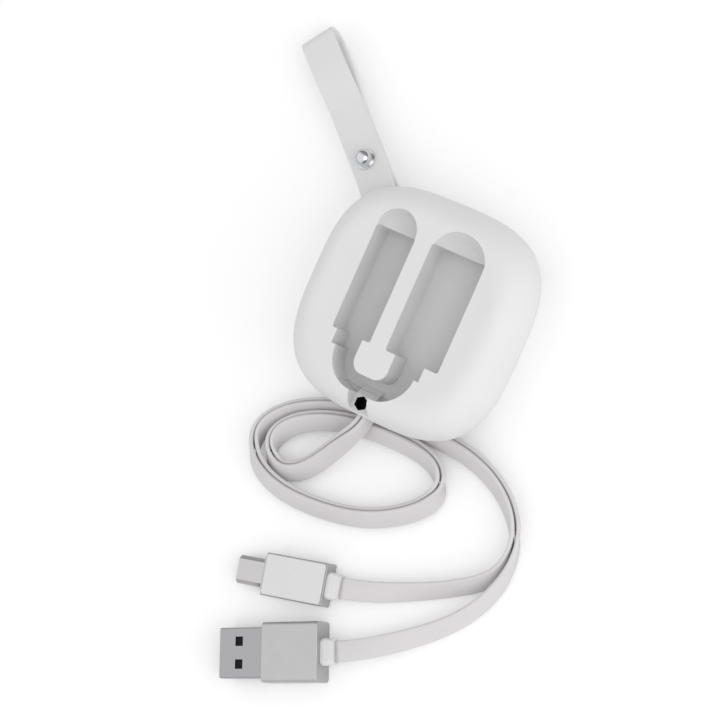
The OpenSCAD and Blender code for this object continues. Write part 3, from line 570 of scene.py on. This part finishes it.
def paint_shade_in_cuts(shell):
    """Paints shade into the white shell: its cuts take the grey tray's finish as painted shade, and the
    six-sided socket a black one as the painted shade of a deep hole.
    """
    shell.data.materials.append(FINISH["tray_grey"])
    shell.data.materials.append(FINISH["tongue_black"])
    # Index 1 paints grey shade into the cuts, index 2 paints black shade into the six-sided socket
    white, grey, black = range(3)
    for face in shell.data.polygons:
        x, y, z = face.center
        level = face.normal.z > SQUARE_ON
        sunk_face = level and z > FACE_LOWEST
        in_notch = abs(x - NOTCH_MIDDLE) < NOTCH_HALF and y < NOTCH_START
        notch_wall = in_notch and abs(face.normal.x) > SQUARE_ON
        notch_floor = in_notch and level and z < NOTCH_FLOOR + NOTCH_SLACK
        in_socket = math.dist((x, y), HEXAGON_PLACE) < HEXAGON_REACH and z < NOTCH_FLOOR - HEIGHT_SLACK
        if z < TRAY_BOTTOM or z > CASE_TOP - HEIGHT_SLACK or sunk_face:
            face.material_index = white
        elif in_socket:
            face.material_index = black
        elif notch_wall or notch_floor or is_cut_in(face.center, face.normal):
            face.material_index = grey


def start_copies(name, sizes):
    """A Geometry Nodes tree with named inputs, and its input node."""
    tree = bpy.data.node_groups.new(name, "GeometryNodeTree")
    for label, kind in [("Geometry", "NodeSocketGeometry"), *sizes, ("Finish", "NodeSocketMaterial")]:
        tree.interface.new_socket(label, in_out="INPUT", socket_type=kind)
    tree.interface.new_socket("Geometry", in_out="OUTPUT", socket_type="NodeSocketGeometry")
    return tree, add(tree, "NodeGroupInput").outputs


def end_copies(tree, points, given):
    """Puts the piece at each point, makes the copies one mesh and gives it its finish."""
    piece = add(tree, "GeometryNodeObjectInfo", {"transform_space": "ORIGINAL"}, {"Object": given["Piece"]})
    copies = add(tree, "GeometryNodeInstanceOnPoints", (), {"Points": points,
                                                            "Instance": piece.outputs["Geometry"]})
    solid = add(tree, "GeometryNodeRealizeInstances", (), {"Geometry": copies.outputs["Instances"]})
    dressed = add(tree, "GeometryNodeSetMaterial", (), {"Geometry": solid.outputs["Geometry"],
                                                        "Material": given["Finish"]})
    add(tree, "NodeGroupOutput", (), {"Geometry": dressed.outputs["Geometry"]})
    return tree


def copies_in_a_row():
    # Contacts lie side by side at one pitch
    tree, given = start_copies("contacts_side_by_side", [
        ("Piece", "NodeSocketObject"), ("Count", "NodeSocketInt"), ("First", "NodeSocketVector"),
        ("Pitch", "NodeSocketVector")])
    row = add(tree, "GeometryNodeMeshLine", {"mode": "OFFSET"},
              {"Count": given["Count"], "Start Location": given["First"], "Offset": given["Pitch"]})
    return end_copies(tree, row.outputs["Mesh"], given)


def copies_in_corners():
    # Screws stand in the corners of a square, apart from the one that the strap takes
    tree, given = start_copies("screws_in_corners", [
        ("Piece", "NodeSocketObject"), ("Reach", "NodeSocketFloat"), ("Seat", "NodeSocketVector"),
        ("Strap Corner", "NodeSocketInt")])
    ring = add(tree, "GeometryNodeMeshCircle", {"Vertices": 4}, {"Radius": given["Reach"]})
    square = add(tree, "GeometryNodeTransform", {"Rotation": (0, 0, math.radians(45))},
                 {"Geometry": ring.outputs["Mesh"], "Translation": given["Seat"]})
    index = add(tree, "GeometryNodeInputIndex")
    left_out = add(tree, "FunctionNodeCompare", {"data_type": "INT", "operation": "EQUAL"},
                   {2: index.outputs["Index"], 3: given["Strap Corner"]})
    kept = add(tree, "GeometryNodeDeleteGeometry", {"domain": "POINT"},
               {"Geometry": square.outputs["Geometry"], "Selection": left_out.outputs["Result"]})
    return end_copies(tree, kept.outputs["Geometry"], given)


def spread(tree, name, node, piece, sizes):
    """Runs a tree of copies with its sizes, and shows the result in place of a CAD node."""
    carrier = bpy.data.objects.new(name, bpy.data.meshes.new(name))
    bpy.context.scene.collection.objects.link(carrier)
    copies = carrier.modifiers.new("copies", "NODES")
    copies.node_group = tree
    keys = {item.name: item.identifier for item in tree.interface.items_tree if item.in_out == "INPUT"}
    for label, value in {"Piece": piece, "Finish": FINISH[NODE_SLOT[node]], **sizes}.items():
        copies[keys[label]] = value
    graph = bpy.context.evaluated_depsgraph_get()
    mesh = bpy.data.meshes.new_from_object(carrier.evaluated_get(graph), depsgraph=graph)
    mesh.name = name
    bpy.data.objects.remove(carrier)
    bpy.data.objects.remove(piece)
    return show(mesh, name, node, smooth=False)


def contact_strip(sizes, azimuth):
    """One stamped contact along its plug: a flat strip with round edges and a tip that is bent away."""
    _, _, _, length, width, thickness = sizes
    turn = Matrix.Rotation(math.radians(azimuth), 4, "Z")
    section = rounded_section(width, thickness, thickness * CONTACT_CORNER_SHARE, steps=3)
    bend = thickness * CONTACT_BEND_SHARE
    line = [(length * along, bend * up) for along, up in CONTACT_LINE_SHARES]
    rings = [[turn @ Vector((x, a, z + thickness / 2 + b)) for a, b in section] for x, z in line]
    mesh = loft("contact_strip", rings)
    tidy_normals(mesh)
    return bpy.data.objects.new("contact_strip", mesh)


def contacts(name, node, sizes, end, azimuth, count):
    """A plug's row of contacts."""
    reach, height, pitch = sizes[:3]
    turn = Matrix.Rotation(math.radians(azimuth), 4, "Z")
    first = Vector(end) + turn @ Vector((reach, -pitch * (count - 1) / 2, height - sizes[5]))
    return spread(copies_in_a_row(), name, node, contact_strip(sizes, azimuth),
                  {"Count": count, "First": first, "Pitch": turn @ Vector((0, pitch, 0))})


def cross_recess(reach, arm, turns):
    """Outline of a screwdriver's cross, as a distance at each turn."""
    return [min(reach, arm / min(abs(math.sin(a)), abs(math.cos(a)))) for a in turns]


def case_screw():
    """One screw with a domed head that looks down, a cross recess and a plain shank."""
    turns = [math.tau * (k + 0.5) / SCREW_STEPS for k in range(SCREW_STEPS)]
    radius, height = SCREW_HEAD
    shank, length = SCREW_SHANK
    reach, arm, depth = SCREW_CROSS
    cross = cross_recess(reach, arm, turns)
    even = [1] * SCREW_STEPS
    rows = [(shank * SCREW_TIP_SHARES[0], length, even), (shank, length * SCREW_TIP_SHARES[1], even)]
    rows += [(shank, 0, even)]
    rows += [(radius * across, -height * down, even) for across, down in SCREW_HEAD_SHARES]
    rows += [(1, -height, cross), (SCREW_CROSS_TAPER, depth - height, cross)]
    rings = [[Vector((r * scale * math.cos(a), r * scale * math.sin(a), z))
              for a, scale in zip(turns, share)] for r, z, share in rows]
    mesh = loft("case_screw", rings)
    tidy_normals(mesh)
    return bpy.data.objects.new("case_screw", mesh)


# Each rigid node that shows, and the radius of its rounded edges
ROUNDED = {
    "front_shell": 0.25 * MM, "connector_tray": 0.3 * MM, "back_shell": 0.2 * MM,
    "rivet_stud": 0.12 * MM, "rivet_back": 0.2 * MM,
    "usb_shell": 0.06 * MM, "usb_tongue": 0.1 * MM, "usb_case": 0.25 * MM, "usb_boot": 0.25 * MM,
    "micro_shell": 0.05 * MM, "micro_tongue": 0.05 * MM, "micro_case": 0.2 * MM, "micro_plates": 0.15 * MM,
    "micro_boot": 0.25 * MM, "micro_latches": 0.04 * MM,
}


def floor():
    """White paper on which the object lies."""
    mesh = bpy.data.meshes.new("floor")
    corners = [(-1, -1), (1, -1), (1, 1), (-1, 1)]
    mesh.from_pydata([(x * FLOOR_REACH, y * FLOOR_REACH, 0) for x, y in corners], [], [range(4)])
    made = bpy.data.objects.new("floor", mesh)
    bpy.context.scene.collection.objects.link(made)
    material = bpy.data.materials.new("white_studio_paper")
    material.use_nodes = True
    tree = material.node_tree
    tree.nodes.clear()
    paper = add(tree, "ShaderNodeBsdfDiffuse", {"Color": linear(FLOOR_COLOUR)})
    seen = add(tree, "ShaderNodeLightPath").outputs["Is Camera Ray"]
    level = add(tree, "ShaderNodeMath", {"operation": "MULTIPLY", 1: FLOOR_GLOW}, {0: seen})
    glow = add(tree, "ShaderNodeEmission", {"Color": WHITE}, {"Strength": level.outputs[0]})
    both = add(tree, "ShaderNodeAddShader", (), {0: paper.outputs[0], 1: glow.outputs[0]})
    add(tree, "ShaderNodeOutputMaterial", (), {"Surface": both.outputs[0]})
    mesh.materials.append(material)


def world():
    """White background, with soft light from all around and a tent that metal mirrors."""
    made = bpy.data.worlds.new("studio")
    bpy.context.scene.world = made
    made.use_nodes = True
    tree = made.node_tree
    tree.nodes.clear()
    ray = add(tree, "ShaderNodeLightPath")
    seen = add(tree, "ShaderNodeMath", {"operation": "MAXIMUM"},
               {0: ray.outputs["Is Camera Ray"], 1: ray.outputs["Is Transmission Ray"]})
    direction = add(tree, "ShaderNodeSeparateXYZ", (),
                    {0: add(tree, "ShaderNodeTexCoord").outputs["Generated"]})
    # The tent darkens towards the horizon and has a dark side at the back
    height = map_range(tree, direction.outputs["Z"], *TENT_BY_HEIGHT)
    back = map_range(tree, direction.outputs["Y"], *TENT_TO_BACK)
    tent = add(tree, "ShaderNodeMath", {"operation": "MULTIPLY"}, {0: height, 1: back})
    # The rest is lit from all around, a little less from the back
    around = map_range(tree, direction.outputs["Y"], *LIGHT_TO_BACK)
    soft = add(tree, "ShaderNodeBackground", {"Color": WHITE}, {"Strength": around})
    mirrored = add(tree, "ShaderNodeBackground", {"Color": WHITE}, {"Strength": tent.outputs[0]})
    white = add(tree, "ShaderNodeBackground", {"Color": WHITE, "Strength": 1})
    first = add(tree, "ShaderNodeMixShader", (),
                {0: ray.outputs["Is Glossy Ray"], 1: soft.outputs[0], 2: mirrored.outputs[0]})
    both = add(tree, "ShaderNodeMixShader", (),
               {0: seen.outputs[0], 1: first.outputs[0], 2: white.outputs[0]})
    add(tree, "ShaderNodeOutputWorld", (), {"Surface": both.outputs[0]})


def key_lamp():
    """A broad soft lamp that looks at the object."""
    lamp = bpy.data.lights.new("key_softbox", "AREA")
    lamp.size = LAMP_SIZE
    lamp.energy = LAMP_POWER
    made = bpy.data.objects.new("key_softbox", lamp)
    bpy.context.scene.collection.objects.link(made)
    made.location = LAMP_PLACE
    made.rotation_euler = (-made.location).to_track_quat("-Z", "Y").to_euler()


def camera():
    """Camera at the photograph's place and angle."""
    data = bpy.data.cameras.new("camera")
    data.sensor_width = SENSOR
    data.lens = CAMERA_LENS
    data.clip_start = CAMERA_NEAREST
    made = bpy.data.objects.new("camera", data)
    bpy.context.scene.collection.objects.link(made)
    made.location = CAMERA_PLACE
    made.rotation_euler = [math.radians(a) for a in CAMERA_TURN]
    bpy.context.scene.camera = made


camera()
floor()
world()
key_lamp()
bpy.context.scene.view_settings.view_transform = "Standard"

for node, piece in frame["nodes"].items():
    piece.data.materials.clear()
    piece.data.materials.append(FINISH[NODE_SLOT[node]])

shown = {node: finished_copy(node, "finished_" + node, edge) for node, edge in ROUNDED.items()}
# Painted shade: grey in the white shell's cuts, and black in its six-sided socket
paint_shade_in_cuts(shown["front_shell"])
strap()
shown["usb_contacts"] = contacts("usb_plug_contacts", "usb_contacts", USB_CONTACTS, USB_END,
                                 USB_AZIMUTH, USB_CONTACT_COUNT)
shown["micro_contacts"] = contacts("micro_plug_contacts", "micro_contacts", MICRO_CONTACTS, MICRO_END,
                                   MICRO_AZIMUTH, MICRO_CONTACT_COUNT)
spread(copies_in_corners(), "back_shell_screws", "case_screws", case_screw(),
       {"Reach": SCREW_CORNER * math.sqrt(2), "Seat": (0, 0, SCREW_SEAT), "Strap Corner": SCREWLESS_CORNER})

# The micro ribbon and the USB-A ribbon lie on the two sides of the pair, each with its plug at its end
for kind, branch, end, azimuth, side in [("micro", MICRO_ROUTE, MICRO_END, MICRO_AZIMUTH, 1),
                                         ("usb", USB_ROUTE, USB_END, USB_AZIMUTH, -1)]:
    cord, path, length = ribbon(kind + "_flat_ribbon", kind + "_ribbon", branch, end, azimuth, side)
